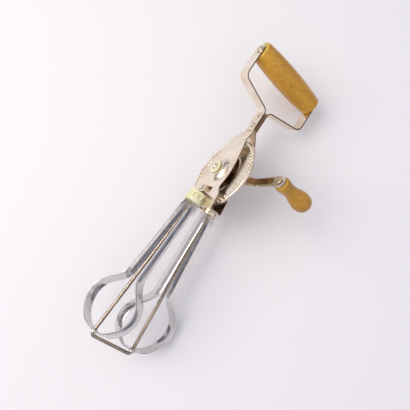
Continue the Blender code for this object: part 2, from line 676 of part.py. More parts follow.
def ribbon_path():
    """The dasher's ribbon from one leg's tang round both lobes to the other tang, and its half widths."""
    lobe = [Vector(point) for point in (RIBBON_SHOULDER, *RIBBON_LOBE)]
    lobe.append(Vector((0.0, RIBBON_BOTTOM)))
    mirrored = [Vector((-point.x, point.y)) for point in reversed(lobe[:-1])]
    curve = smooth_through(lobe + mirrored, 2)
    top = Vector(RIBBON_TOP)
    shoulder = Vector(RIBBON_SHOULDER)
    leg = [top]
    for height in TANG_HEIGHTS:
        leg.append(top + (shoulder - top) * ((top.y - height) / (top.y - shoulder.y)))
    far_leg = [Vector((-point.x, point.y)) for point in reversed(leg)]
    path = [point * MM for point in (*leg, *curve, *far_leg)]
    half_widths = [TANG_WIDTH / 2] * 2 + [RIBBON_WIDTH / 2] * (len(path) - 4) + [TANG_WIDTH / 2] * 2
    return path, half_widths


def build_dasher(name, side, turn):
    """One dasher: a ribbon bent to two wings, with the eyelet that runs on the wire."""
    frame = dasher_frame(side, turn - math.pi / 2)
    ribbon = add_object(name, strip(*ribbon_path(), RIBBON_THICKNESS), CHROME, frame)
    bottom = RIBBON_BOTTOM * MM
    low = bottom - RIBBON_THICKNESS
    drill(ribbon, f"{name}_hole", EYELET_RADIUS + GAP / 2, low, bottom + 2 * RIBBON_THICKNESS, frame, 24)
    under = bottom - RIBBON_THICKNESS / 2 - GAP
    lip = under - EYELET_LIP_HEIGHT
    top = bottom + EYELET_RISE
    profile = (
        (WIRE_BORE, lip), (EYELET_RADIUS + EYELET_LIP, lip), (EYELET_RADIUS + EYELET_LIP, under),
        (EYELET_RADIUS, under), (EYELET_RADIUS, top), (WIRE_BORE, top),
    )
    add_object(f"{name}_eyelet", turned(profile, 20), CHROME, frame)


def pinion_outline():
    """Gear outline points as (angle, radius), with a gap centred on the angle zero."""
    pitch = 2 * math.pi / PINION_TEETH
    rising = [(-turn, PINION_TIP - drop) for turn, drop in PINION_FLANK]
    falling = [(-turn, radius) for turn, radius in reversed(rising)]
    root = rising[0][1]
    points = []
    for tooth in range(PINION_TEETH):
        middle = pitch * (tooth + 0.5)
        points += [(middle + math.radians(turn), radius) for turn, radius in rising + falling]
        points.append((pitch * (tooth + 1), root))
    return points


def build_pinion(name, side, turn, finish):
    """A pinion: hub below, teeth in the middle and a collar above, bored for the wire."""
    frame = dasher_frame(side, 0.0)
    hub_low, teeth_low, teeth_high, collar_high = PINION_STATIONS
    hub_edge, collar_edge = PINION_EDGES
    facing = math.radians(90 if side < 0 else -90)
    bm = bmesh.new()
    rim = [
        bm.verts.new((radius * math.cos(angle + facing), radius * math.sin(angle + facing), teeth_low))
        for angle, radius in pinion_outline()
    ]
    floor = bm.faces.new(rim)
    grown = bmesh.ops.extrude_face_region(bm, geom=[floor])
    tops = [item for item in grown["geom"] if isinstance(item, bmesh.types.BMVert)]
    bmesh.ops.translate(bm, vec=(0, 0, teeth_high - teeth_low), verts=tops)
    pinion = add_object(name, bm, finish, frame)
    profile = (
        (0, hub_low), (PINION_COLLAR - hub_edge, hub_low), (PINION_COLLAR, hub_low + hub_edge),
        (PINION_COLLAR, teeth_low + PINION_LAP), (PINION_CORE, teeth_low + PINION_LAP),
        (PINION_CORE, teeth_high - PINION_LAP), (PINION_COLLAR, teeth_high - PINION_LAP),
        (PINION_COLLAR, collar_high - collar_edge), (PINION_COLLAR - collar_edge, collar_high),
        (0, collar_high),
    )
    boolean(pinion, add_object(f"{name}_stack", turned(profile, 24), matrix=frame), "UNION")
    drill(pinion, f"{name}_bore", WIRE_BORE, hub_low - CUT_THROUGH, collar_high + CUT_THROUGH, frame)
    slots = dasher_frame(side, turn - math.pi / 2)
    half_width = TANG_WIDTH / 2 + GAP
    reach = RIBBON_THICKNESS / 2 + GAP
    slot_middle = RIBBON_TOP[0] * MM
    for index, way in enumerate((-1, 1)):
        ends = sorted((way * (slot_middle - reach), way * (slot_middle + reach + TANG_LEAN_ROOM)))
        low = (-half_width, ends[0], hub_low - MM)
        high = (half_width, ends[1], RIBBON_TOP[1] * MM + GAP)
        boolean(pinion, add_object(f"{name}_slot_{index}", block(low, high), matrix=slots), "DIFFERENCE")


def build_wire():
    """The U-shaped guide wire, with an upset head above each lug."""
    top_spread = WIRE_HALF_SPREAD - (WIRE_END_HEIGHT - WIRE_ROOT_HEIGHT) * math.tan(WIRE_LEAN)
    corners = [
        (-top_spread, WIRE_END_HEIGHT), (-WIRE_HALF_SPREAD, WIRE_ROOT_HEIGHT),
        (WIRE_HALF_SPREAD, WIRE_ROOT_HEIGHT), (top_spread, WIRE_END_HEIGHT),
    ]
    path = filleted(corners, (WIRE_BEND_RADIUS, WIRE_BEND_RADIUS), 6)
    head_base = NOTCH_TOP + LUG_STEP + PLATE_THICKNESS + GAP
    heading = (path[1] - path[0]).normalized()
    drop = (WIRE_END_HEIGHT - head_base) / -heading.y
    places = (0.0, drop * WIRE_HEAD_ROUND, drop, drop + WIRE_HEAD_SEAT)
    head = [path[0] + heading * place for place in places]
    head_radii = [WIRE_HEAD_TOP_RADIUS, WIRE_HEAD_RADIUS, WIRE_HEAD_RADIUS, WIRE_RADIUS]
    tail = [Vector((-point.x, point.y)) for point in reversed(head)]
    path = head + path[1:-1] + tail
    radii = head_radii + [WIRE_RADIUS] * (len(path) - 2 * len(head)) + list(reversed(head_radii))
    add_object("guide_wire", tube(path, radii), WIRE_STEEL)


def main():
    """Builds every piece of the beater."""
    clear_scene()
    build_grip()
    build_strap("front_handle_strap", -1)
    build_strap("rear_handle_strap", 1)
    build_frame()
    build_wheel()
    build_axle()
    build_crank()
    build_knob()
    build_wire()
    rotors = (("front", -1, FRONT_DASHER_TURN, NYLON), ("rear", 1, REAR_DASHER_TURN, STEEL))
    for name, side, turn, finish in rotors:
        build_dasher(f"{name}_dasher", side, turn)
        build_pinion(f"{name}_pinion", side, turn, finish)


main()
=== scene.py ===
"""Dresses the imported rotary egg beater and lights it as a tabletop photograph.

The beater stands upright in its own frame (+Z from the crossbar to the grip, +Y along the wheel's
axle to the crank side), and lies in the picture on a pale table behind it. Sizes are in
millimetres where a name says so, and in metres everywhere else.
"""

import logging
import math
from dataclasses import dataclass
from enum import Enum
from typing import Dict, List, Optional, Sequence, Tuple, Union

import bmesh
import bpy
from mathutils import Matrix, Vector


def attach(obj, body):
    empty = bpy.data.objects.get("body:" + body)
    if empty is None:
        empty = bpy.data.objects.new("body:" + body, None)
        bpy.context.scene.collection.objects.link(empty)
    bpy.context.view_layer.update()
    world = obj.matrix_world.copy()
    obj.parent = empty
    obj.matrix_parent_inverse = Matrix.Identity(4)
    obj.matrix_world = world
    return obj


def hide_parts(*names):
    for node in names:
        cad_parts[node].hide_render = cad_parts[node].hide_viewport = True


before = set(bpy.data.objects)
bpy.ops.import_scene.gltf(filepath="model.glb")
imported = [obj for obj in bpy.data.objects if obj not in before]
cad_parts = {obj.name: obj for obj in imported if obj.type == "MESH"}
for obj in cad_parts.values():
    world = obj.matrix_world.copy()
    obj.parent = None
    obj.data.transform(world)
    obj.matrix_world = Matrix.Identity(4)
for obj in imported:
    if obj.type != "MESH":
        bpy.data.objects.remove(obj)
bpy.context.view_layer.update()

MM = 0.001
AXLE_HEIGHT = 168.0 * MM
CRANK_ANGLE = math.radians(16.2)
# Half way up the beater, where the lamp looks and table and wall are centred
MIDDLE_HEIGHT = 140.0 * MM
HOLE_SEGMENTS = 48
Point = Tuple[float, float, float]
Tree = bpy.types.NodeTree
Node = bpy.types.Node
Socket = bpy.types.NodeSocket

log = logging.getLogger("egg_beater")


class Body(Enum):
    """The bodies of the beater that move apart."""

    FRAME = "frame"
    WHEEL = "wheel"
    KNOB = "knob"
    FRONT = "front_rotor"
    REAR = "rear_rotor"


class Slot(Enum):
    """Material slot names for the new pieces; nothing in this script gives them out."""

    NICKEL = "nickel_steel"
    CHROME = "chrome"
    WIRE = "wire_steel"
    WOOD = "varnished_wood"


def linear(code: str) -> Tuple[float, float, float, float]:
    """Turns an sRGB hex colour into a linear one.

    Args:
        code: six hex digits after a hash sign.

    Returns:
        The linear colour with full alpha.
    """
    channels = []
    for start in (1, 3, 5):
        value = int(code[start:start + 2], 16) / 255
        channels.append(value / 12.92 if value <= 0.04045 else ((value + 0.055) / 1.055) ** 2.4)
    return (channels[0], channels[1], channels[2], 1.0)


def per_metre(size_mm: float) -> float:
    """The texture scale at which one feature has a size in millimetres."""
    return 1000.0 / size_mm


def add_node(tree: Tree, kind: str, settings: Optional[Dict[str, object]] = None, **links: Socket) -> Node:
    """Adds a node with its settings and links.

    Args:
        tree: the node tree it goes into.
        kind: the node's type name.
        settings: values by socket name or by property name.
        **links: sources by socket name, with underscores for spaces.

    Returns:
        The new node.
    """
    node = tree.nodes.new(kind)
    for name, value in (settings or {}).items():
        if name in node.inputs:
            node.inputs[name].default_value = value
        elif name.isdigit():
            node.inputs[int(name)].default_value = value
        else:
            setattr(node, name, value)
    for name, source in links.items():
        label = name.replace("_", " ")
        target = node.inputs[int(label[5:])] if label.startswith("input") else node.inputs[label]
        tree.links.new(source, target)
    return node


def ramp(tree: Tree, source: Socket, stops: Sequence[Tuple[float, Union[str, float]]]) -> Node:
    """Adds a colour ramp.

    Args:
        tree: the node tree it goes into.
        source: what drives the ramp.
        stops: positions, each with a hex colour or a grey level.

    Returns:
        The ramp's node.
    """
    node = add_node(tree, "ShaderNodeValToRGB", Fac=source)
    elements = node.color_ramp.elements
    while len(elements) < len(stops):
        elements.new(0.5)
    for element, (position, colour) in zip(elements, stops):
        element.position = position
        element.color = linear(colour) if isinstance(colour, str) else (colour, colour, colour, 1.0)
    return node


def arithmetic(
    tree: Tree, operation: str, first: Socket, second: Union[Socket, float] = 0.0
) -> Socket:
    """Adds a math node.

    Args:
        tree: the node tree it goes into.
        operation: Blender's name of the operation.
        first: its first source.
        second: its second source, or a number.

    Returns:
        The result.
    """
    node = add_node(tree, "ShaderNodeMath", {"operation": operation}, input0=first)
    if isinstance(second, bpy.types.NodeSocket):
        tree.links.new(second, node.inputs[1])
    else:
        node.inputs[1].default_value = second
    return node.outputs["Value"]


def between(
    tree: Tree, value: Socket, low: float, high: float, start: float = 0.0, end: float = 1.0
) -> Socket:
    """Maps a value's run from one bound to another onto a span, and clamps it there.

    Args:
        tree: the node tree it goes into.
        value: the value.
        low: the bound that gives the span's start.
        high: the bound that gives its end.
        start: the span's start.
        end: the span's end.

    Returns:
        The mapped value.
    """
    bounds = {"From Min": low, "From Max": high, "To Min": start, "To Max": end}
    return add_node(tree, "ShaderNodeMapRange", bounds, Value=value).outputs["Result"]


def tint(tree: Tree, amount: Socket, colour: Socket, tone: str) -> Socket:
    """Mixes a tone over a colour.

    Args:
        tree: the node tree it goes into.
        amount: how much of the tone shows.
        colour: the colour under it.
        tone: the hex colour that goes over it.

    Returns:
        The mixed colour.
    """
    settings = {"data_type": "RGBA", "7": linear(tone)}
    return add_node(tree, "ShaderNodeMix", settings, input0=amount, input6=colour).outputs[2]


def split_axes(tree: Tree, source: Socket) -> Tuple[Socket, Socket, Socket]:
    """The X, Y and Z of a place or direction."""
    node = add_node(tree, "ShaderNodeSeparateXYZ", Vector=source)
    return node.outputs["X"], node.outputs["Y"], node.outputs["Z"]


def blank_material(name: str) -> Tuple[bpy.types.Material, Tree, Node]:
    """Makes a material with only its Principled shader and its output.

    Args:
        name: the material's name.

    Returns:
        The material, its tree and the shader.
    """
    material = bpy.data.materials.new(name)
    material.use_nodes = True
    tree = material.node_tree
    tree.nodes.clear()
    shader = add_node(tree, "ShaderNodeBsdfPrincipled")
    add_node(tree, "ShaderNodeOutputMaterial", Surface=shader.outputs["BSDF"])
    return material, tree, shader


def along_y(place: Point) -> Matrix:
    """The frame at a place whose Z runs along +Y."""
    return Matrix.Translation(place) @ Matrix.Rotation(-math.pi / 2, 4, "X")


def revolve(profile: Sequence[Tuple[float, float]], segments: int) -> bmesh.types.BMesh:
    """Spins an outline about Z into a closed solid.

    Args:
        profile: radius and height of each point, from axis to axis or all the way round a ring.
        segments: steps of the full turn.

    Returns:
        The solid's mesh, in metres.
    """
    bm = bmesh.new()
    verts = [bm.verts.new((radius, 0.0, height)) for radius, height in profile]
    edges = [bm.edges.new(pair) for pair in zip(verts, verts[1:])]
    if profile[0][0] > 0.0:
        edges.append(bm.edges.new((verts[-1], verts[0])))
    bmesh.ops.spin(
        bm, geom=verts + edges, cent=(0, 0, 0), axis=(0, 0, 1), angle=2 * math.pi, steps=segments,
        use_merge=True,
    )
    return bm


def sweep(rings: Sequence[Sequence[Vector]]) -> bmesh.types.BMesh:
    """Extrudes one ring of points through the next ones into a closed bar.

    Args:
        rings: the rings of points, all with the same number of points.

    Returns:
        The bar's mesh.
    """
    bm = bmesh.new()
    face = bm.faces.new([bm.verts.new(spot) for spot in rings[0]])
    for ring in rings[1:]:
        grown = bmesh.ops.extrude_face_region(bm, geom=[face])["geom"]
        face = next(item for item in grown if isinstance(item, bmesh.types.BMFace))
        for vert, spot in zip(face.verts, ring):
            vert.co = spot
    return bm


def filleted(points: Sequence[Tuple[float, float]], radius: float, steps: int) -> List[Vector]:
    """Rounds each inner corner of a flat polyline.

    Args:
        points: the corners.
        radius: the radius of every rounding.
        steps: points along each rounding.

    Returns:
        The rounded polyline.
    """
    out = [Vector(points[0])]
    for before, corner, after in zip(points, points[1:], points[2:]):
        middle = Vector(corner)
        back = (Vector(before) - middle).normalized()
        ahead = (Vector(after) - middle).normalized()
        half = back.angle(ahead) / 2
        centre = middle + (back + ahead).normalized() * (radius / math.sin(half))
        start = middle + back * (radius / math.tan(half)) - centre
        end = middle + ahead * (radius / math.tan(half)) - centre
        turn = start.angle(end)
        for step in range(steps + 1):
            part = step / steps
            spot = start * math.sin((1 - part) * turn) + end * math.sin(part * turn)
            out.append(centre + spot / math.sin(turn))
    out.append(Vector(points[-1]))
    return out


def smooth_through(points: Sequence[Vector], steps: int) -> List[Vector]:
    """Lays a smooth curve through points.

    Args:
        points: the points it passes.
        steps: steps between each two of them.

    Returns:
        The curve's points.
    """
    ends = [points[0] * 2 - points[1], *points, points[-1] * 2 - points[-2]]
    out = [points[0].copy()]
    for a, b, c, d in zip(ends, ends[1:], ends[2:], ends[3:]):
        for step in range(1, steps + 1):
            t = step / steps
            slope = (c - a) * t
            bend = (a * 2 - b * 5 + c * 4 - d) * t ** 2
            twist = (b * 3 - a - c * 3 + d) * t ** 3
            out.append((b * 2 + slope + bend + twist) / 2)
    return out


def headings(path: Sequence[Vector]) -> List[Vector]:
    """The directions of a flat path at its points, each halved between its two sides."""
    out = []
    for index, point in enumerate(path):
        before = path[max(index - 1, 0)]
        after = path[min(index + 1, len(path) - 1)]
        into = (point - before).normalized() if index else (after - point).normalized()
        away = (after - point).normalized() if index < len(path) - 1 else into
        out.append((into + away).normalized())
    return out


def wire_side(side: int, lean: float, half_spread: float, root: float) -> Matrix:
    """The frame of one leg of the guide wire: its Z runs up the leg from the crossbar."""
    return Matrix.Translation((0, side * half_spread, root)) @ Matrix.Rotation(side * lean, 4, "X")


def make_object(name: str, bm: bmesh.types.BMesh, sharp: float = 35.0) -> bpy.types.Object:
    """Turns a mesh into an object at the origin, smooth but for its sharp edges.

    Args:
        name: the object's name.
        bm: its mesh, which is used up.
        sharp: the angle in degrees from which an edge stays sharp.

    Returns:
        The new object.
    """
    bmesh.ops.remove_doubles(bm, verts=bm.verts[:], dist=1e-7)
    bmesh.ops.recalc_face_normals(bm, faces=bm.faces[:])
    mesh = bpy.data.meshes.new(name)
    bm.to_mesh(mesh)
    bm.free()
    mesh.shade_smooth()
    mesh.set_sharp_from_angle(angle=math.radians(sharp))
    obj = bpy.data.objects.new(name, mesh)
    bpy.context.scene.collection.objects.link(obj)
    return obj


def place_piece(
    piece: bpy.types.Object, body: Body, material: bpy.types.Material, node: str
) -> None:
    """Puts a new piece in its CAD node's stead.

    Args:
        piece: the new piece.
        body: the body it rides on.
        material: its material.
        node: the CAD node it stands for.
    """
    piece.data.materials.append(material)
    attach(piece, body.value)
    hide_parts(node)
    log.info("built %s in place of %s", piece.name, node)


def cut_hole(piece: bpy.types.Object, radius: float, low: float, high: float, place: Matrix) -> None:
    """Cuts a round hole through a piece along a frame's Z.

    Args:
        piece: the piece, whose mesh is replaced.
        radius: the hole's radius.
        low: where the cut starts along Z.
        high: where it ends.
        place: the hole's frame.
    """
    bm = revolve(((0.0, low), (radius, low), (radius, high), (0.0, high)), HOLE_SEGMENTS)
    bmesh.ops.transform(bm, matrix=place, verts=bm.verts[:])
    cutter = make_object("cutter", bm)
    modifier = piece.modifiers.new("hole", "BOOLEAN")
    modifier.operation = "DIFFERENCE"
    modifier.solver = "EXACT"
    modifier.object = cutter
    shaped = piece.evaluated_get(bpy.context.evaluated_depsgraph_get())
    mesh = bpy.data.meshes.new_from_object(shaped)
    piece.modifiers.remove(modifier)
    mesh.name = piece.name
    piece.data = mesh
    bpy.data.objects.remove(cutter, do_unlink=True)


@dataclass(frozen=True)
class SoilAndShade:
    """Tarnish, dirt and painted shade laid over part of a metal; each kind says where it lies."""

    tone: str

    def amount(self, tree: Tree, place: Socket) -> Socket:
        """Says how much of this kind's tarnish, dirt or painted shade shows.

        Args:
            tree: the material's node tree.
            place: the surface's place in the object's frame.

        Returns:
            The amount, from 0 to 1.
        """
        raise NotImplementedError

    @staticmethod
    def direction(tree: Tree) -> Tuple[Socket, Socket, Socket]:
        """The parts of the surface's direction in the object's frame."""
        return split_axes(tree, add_node(tree, "ShaderNodeTexCoord").outputs["Normal"])


@dataclass(frozen=True)
class CutEdge(SoilAndShade):
    """The sheared sides of a strip, which have no nickel and have gone brown."""

    # Part of the direction along X at which a face begins to count as a side, and counts in full
    facing: Tuple[float, float] = (0.7, 0.9)

    def amount(self, tree: Tree, place: Socket) -> Socket:
        """Shows on faces that look along X."""
        across, _, _ = self.direction(tree)
        return between(tree, arithmetic(tree, "ABSOLUTE", across), *self.facing)


@dataclass(frozen=True)
class ArmRecessShade(SoilAndShade):
    """Painted shade in the pressed recess of the crank arm, standing for the dark that its face reflects."""

    angle: float = CRANK_ANGLE
    height: float = AXLE_HEIGHT
    lift: float = 0.6 * MM
    start: float = 14.0 * MM
    end: float = 41.0 * MM
    half_width: float = 3.2 * MM
    blur: float = 0.5 * MM

    def amount(self, tree: Tree, place: Socket) -> Socket:
        """Shows in a strip along the arm, which leaves the axle at an angle."""
        level = add_node(tree, "ShaderNodeMapping", {"Location": (0.0, 0.0, -self.height)}, Vector=place)
        turn = {"Rotation": (0.0, self.angle, 0.0)}
        turned = add_node(tree, "ShaderNodeMapping", turn, Vector=level.outputs["Vector"])
        along, _, above = split_axes(tree, turned.outputs["Vector"])
        aside = arithmetic(tree, "ABSOLUTE", arithmetic(tree, "SUBTRACT", above, self.lift))
        narrow = between(tree, aside, self.half_width, self.half_width - self.blur)
        near = between(tree, along, self.start - self.blur, self.start)
        far = between(tree, along, self.end, self.end - self.blur)
        return arithmetic(tree, "MULTIPLY", arithmetic(tree, "MULTIPLY", near, far), narrow)


@dataclass(frozen=True)
class InnerFaceShade(SoilAndShade):
    """Painted shade on the rear plate's inner face, which looks at the wheel across the dark gap between
    them.
    """

    top: float = 200.0 * MM
    fade: float = 8.0 * MM
    facing: Tuple[float, float] = (-0.5, -0.9)
    # Place along the axle from which a face belongs to the rear plate
    rear: Tuple[float, float] = (1.0 * MM, 2.0 * MM)

    def amount(self, tree: Tree, place: Socket) -> Socket:
        """Shows below a height, on rear faces that look at the wheel."""
        _, facing, _ = self.direction(tree)
        _, axial, height = split_axes(tree, place)
        inner = arithmetic(
            tree, "MULTIPLY", between(tree, facing, *self.facing), between(tree, axial, *self.rear)
        )
        return arithmetic(tree, "MULTIPLY", inner, between(tree, height, self.top, self.top - self.fade))


@dataclass(frozen=True)
class DishShade(SoilAndShade):
    """Painted shade on the wheel's dished middle, which lies in the front plate's shade."""

    height: float = AXLE_HEIGHT
    radius: float = 18.9 * MM
    fade: float = 1.2 * MM

    def amount(self, tree: Tree, place: Socket) -> Socket:
        """Shows within a radius of the axle."""
        flatten = {"Location": (0.0, 0.0, -self.height), "Scale": (1.0, 0.0, 1.0)}
        flat = add_node(tree, "ShaderNodeMapping", flatten, Vector=place)
        reach = add_node(tree, "ShaderNodeVectorMath", {"operation": "LENGTH"}, input0=flat.outputs["Vector"])
        return between(tree, reach.outputs["Value"], self.radius, self.radius - self.fade)


@dataclass(frozen=True)
class PlatedSteel:
    """Pressed sheet steel under bright nickel: warm, a little clouded, with fine wiping scratches."""

    name: str = "bright_nickel_plate"
    tone: str = "#F6EBDB"
    stain: str = "#DCC9B1"
    roughness: float = 0.20
    cloud_mm: float = 14.0
    scratch_mm: float = 0.7
    edge_mm: float = 0.25
    soils_and_shades: Tuple[SoilAndShade, ...] = ()

    def material(self) -> bpy.types.Material:
        """Builds the material.

        Returns:
            The nickel material.
        """
        material, tree, shader = blank_material(self.name)
        shader.inputs["Metallic"].default_value = 1.0
        place = add_node(tree, "ShaderNodeTexCoord").outputs["Object"]
        # Plating dulls in clouds about as wide as a thumb print
        clouds = add_node(
            tree, "ShaderNodeTexNoise", {"Scale": per_metre(self.cloud_mm), "Detail": 5.0, "Roughness": 0.6},
            Vector=place,
        )
        colour = ramp(tree, clouds.outputs["Fac"], ((0.35, self.tone), (0.78, self.stain))).outputs["Color"]
        # Each kind, real tarnish and painted shade alike, is tinted over the plating's colour
        for soil_and_shade in self.soils_and_shades:
            colour = tint(tree, soil_and_shade.amount(tree, place), colour, soil_and_shade.tone)
        tree.links.new(colour, shader.inputs["Base Color"])
        bright, dull = self.roughness * 0.75, self.roughness * 1.7
        gloss = between(tree, clouds.outputs["Fac"], 0.3, 0.75, bright, dull)
        tree.links.new(gloss, shader.inputs["Roughness"])
        # Wiping scratches are much finer, so they are drawn as coarse as they need to show
        stretched = add_node(tree, "ShaderNodeMapping", {"Scale": (1.0, 1.0, 0.08)}, Vector=place)
        scratches = add_node(
            tree, "ShaderNodeTexNoise", {"Scale": per_metre(self.scratch_mm), "Detail": 3.0},
            Vector=stretched.outputs["Vector"],
        )
        rounded = add_node(tree, "ShaderNodeBevel", {"Radius": self.edge_mm * MM, "samples": 4})
        bump = add_node(
            tree, "ShaderNodeBump", {"Strength": 0.05, "Distance": 0.1 * MM},
            Height=scratches.outputs["Fac"], Normal=rounded.outputs["Normal"],
        )
        tree.links.new(bump.outputs["Normal"], shader.inputs["Normal"])
        return material


@dataclass(frozen=True)
class ChromedStrip:
    """Rolled steel strip under chrome: neutral, near mirror-like, very gently wavy from the bending."""

    name: str = "chromed_strip"
    tone: str = "#D9D5D5"
    roughness: float = 0.17
    wave_mm: float = 9.0
    edge_mm: float = 0.2

    def material(self) -> bpy.types.Material:
        """Builds the material.

        Returns:
            The chrome material.
        """
        material, tree, shader = blank_material(self.name)
        shader.inputs["Metallic"].default_value = 1.0
        shader.inputs["Base Color"].default_value = linear(self.tone)
        place = add_node(tree, "ShaderNodeTexCoord").outputs["Object"]
        waves = add_node(
            tree, "ShaderNodeTexNoise", {"Scale": per_metre(self.wave_mm), "Detail": 1.0}, Vector=place
        )
        bright, dull = self.roughness * 0.7, self.roughness * 1.6
        gloss = between(tree, waves.outputs["Fac"], 0.3, 0.7, bright, dull)
        tree.links.new(gloss, shader.inputs["Roughness"])
        rounded = add_node(tree, "ShaderNodeBevel", {"Radius": self.edge_mm * MM, "samples": 4})
        bump = add_node(
            tree, "ShaderNodeBump", {"Strength": 0.04, "Distance": 0.4 * MM},
            Height=waves.outputs["Fac"], Normal=rounded.outputs["Normal"],
        )
        tree.links.new(bump.outputs["Normal"], shader.inputs["Normal"])
        return material


@dataclass(frozen=True)
class DrawnWire:
    """Drawn and plated steel wire: brownish grey, with die marks across it."""

    name: str = "drawn_steel_wire"
    tone: str = "#B8A99B"
    mark: str = "#877668"
    roughness: float = 0.15
    mark_mm: float = 1.6
    ring_mm: float = 1.7
    # A wave's period is this much over its scale
    ring_factor: float = math.pi / 10

    def material(self) -> bpy.types.Material:
        """Builds the material.

        Returns:
            The wire's material.
        """
        material, tree, shader = blank_material(self.name)
        shader.inputs["Metallic"].default_value = 1.0
        shader.inputs["Roughness"].default_value = self.roughness
        place = add_node(tree, "ShaderNodeTexCoord").outputs["Object"]
        marks = add_node(
            tree, "ShaderNodeTexNoise", {"Scale": per_metre(self.mark_mm), "Detail": 4.0}, Vector=place
        )
        colour = ramp(tree, marks.outputs["Fac"], ((0.35, self.tone), (0.7, self.mark)))
        tree.links.new(colour.outputs["Color"], shader.inputs["Base Color"])
        # The rings that the drawing die leaves are finer, so they are drawn as coarse as they need to show
        ring_scale = self.ring_factor / (self.ring_mm * MM)
        rings = add_node(
            tree, "ShaderNodeTexWave", {"Scale": ring_scale, "bands_direction": "Z"}, Vector=place
        )
        bump = add_node(
            tree, "ShaderNodeBump", {"Strength": 0.14, "Distance": 0.1 * MM}, Height=rings.outputs["Fac"]
        )
        tree.links.new(bump.outputs["Normal"], shader.inputs["Normal"])
        return material


@dataclass(frozen=True)
class VarnishedWood:
    """Turned beech under worn amber varnish: fine grain along Y, mottled, satin, greener on its ends."""

    name: str
    centre: Point
    half_length_mm: float
    light: str = "#EABB48"
    middle: str = "#D8A02E"
    dark: str = "#AF7E18"
    end: str = "#C8AC48"
    shadow: str = "#D9C3A0"
    grain_mm: float = 0.75
    grain_stretch: float = 0.16
    mottle_mm: float = 11.0
    mottle_stretch: float = 0.35
    # How far the end's tint fades in before the very end
    end_fade_mm: Tuple[float, float] = (0.5, 0.1)

    def material(self) -> bpy.types.Material:
        """Builds the material.

        Returns:
            The wood's material.
        """
        material, tree, shader = blank_material(self.name)
        place = add_node(tree, "ShaderNodeTexCoord").outputs["Object"]
        shift = Vector(self.centre) * -1
        centred = add_node(tree, "ShaderNodeMapping", {"Location": shift}, Vector=place).outputs["Vector"]
        grain_scale = {"Scale": (1.0, self.grain_stretch, 1.0)}
        along = add_node(tree, "ShaderNodeMapping", grain_scale, Vector=centred)
        grain = add_node(
            tree, "ShaderNodeTexNoise",
            {"Scale": per_metre(self.grain_mm), "Detail": 6.0, "Roughness": 0.62, "Distortion": 0.4},
            Vector=along.outputs["Vector"],
        )
        fibre = ramp(tree, grain.outputs["Fac"], ((0.26, self.light), (0.5, self.middle), (0.8, self.dark)))
        mottle_scale = {"Scale": (1.0, self.mottle_stretch, 1.0)}
        half_along = add_node(tree, "ShaderNodeMapping", mottle_scale, Vector=centred)
        mottle = add_node(
            tree, "ShaderNodeTexNoise", {"Scale": per_metre(self.mottle_mm), "Detail": 3.0},
            Vector=half_along.outputs["Vector"],
        )
        shade = ramp(tree, mottle.outputs["Fac"], ((0.3, "#FFFFFF"), (0.75, self.shadow)))
        mixed = add_node(
            tree, "ShaderNodeMix", {"data_type": "RGBA", "blend_type": "MULTIPLY", "Factor": 0.75},
            input6=fibre.outputs["Color"], input7=shade.outputs["Color"],
        )
        # Varnish pooled on the end grain looks greener
        _, lengthwise, _ = split_axes(tree, centred)
        reach = arithmetic(tree, "ABSOLUTE", lengthwise)
        start, full = [(self.half_length_mm - fade) * MM for fade in self.end_fade_mm]
        tinted = tint(tree, between(tree, reach, start, full), mixed.outputs[2], self.end)
        tree.links.new(tinted, shader.inputs["Base Color"])
        shader.inputs["Roughness"].default_value = 0.42
        shader.inputs["IOR"].default_value = 1.5
        shader.inputs["Coat Weight"].default_value = 0.2
        shader.inputs["Coat Roughness"].default_value = 0.22
        bump = add_node(
            tree, "ShaderNodeBump", {"Strength": 0.12, "Distance": 0.2 * MM}, Height=grain.outputs["Fac"]
        )
        tree.links.new(bump.outputs["Normal"], shader.inputs["Normal"])
        return material


@dataclass(frozen=True)
class MouldedNylon:
    """Injection-moulded nylon, aged from cream to amber: soft gloss, light passes a little way in."""

    name: str = "aged_cream_nylon"
    fresh: str = "#E9E6C2"
    aged: str = "#DACD92"
    patch_mm: float = 12.0

    def material(self) -> bpy.types.Material:
        """Builds the material.

        Returns:
            The nylon's material.
        """
        material, tree, shader = blank_material(self.name)
        place = add_node(tree, "ShaderNodeTexCoord").outputs["Object"]
        patches = add_node(
            tree, "ShaderNodeTexNoise", {"Scale": per_metre(self.patch_mm), "Detail": 3.0}, Vector=place
        )
        colour = ramp(tree, patches.outputs["Fac"], ((0.42, self.fresh), (0.75, self.aged)))
        tree.links.new(colour.outputs["Color"], shader.inputs["Base Color"])
        shader.inputs["Roughness"].default_value = 0.38
        shader.inputs["IOR"].default_value = 1.53
        shader.inputs["Subsurface Weight"].default_value = 0.15
        shader.inputs["Subsurface Scale"].default_value = 1.5 * MM
        rounded = add_node(tree, "ShaderNodeBevel", {"Radius": 0.3 * MM, "samples": 4})
        tree.links.new(rounded.outputs["Normal"], shader.inputs["Normal"])
        return material


def dress(node: str, material: bpy.types.Material) -> None:
    """Gives a CAD node a material in place of its plain one.

    Args:
        node: the CAD node's name.
        material: its new material.
    """
    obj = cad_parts[node]
    if not obj.data.materials:
        obj.data.materials.append(material)
    for index in range(len(obj.material_slots)):
        obj.material_slots[index].material = material
    log.info("dressed %s in %s", node, material.name)


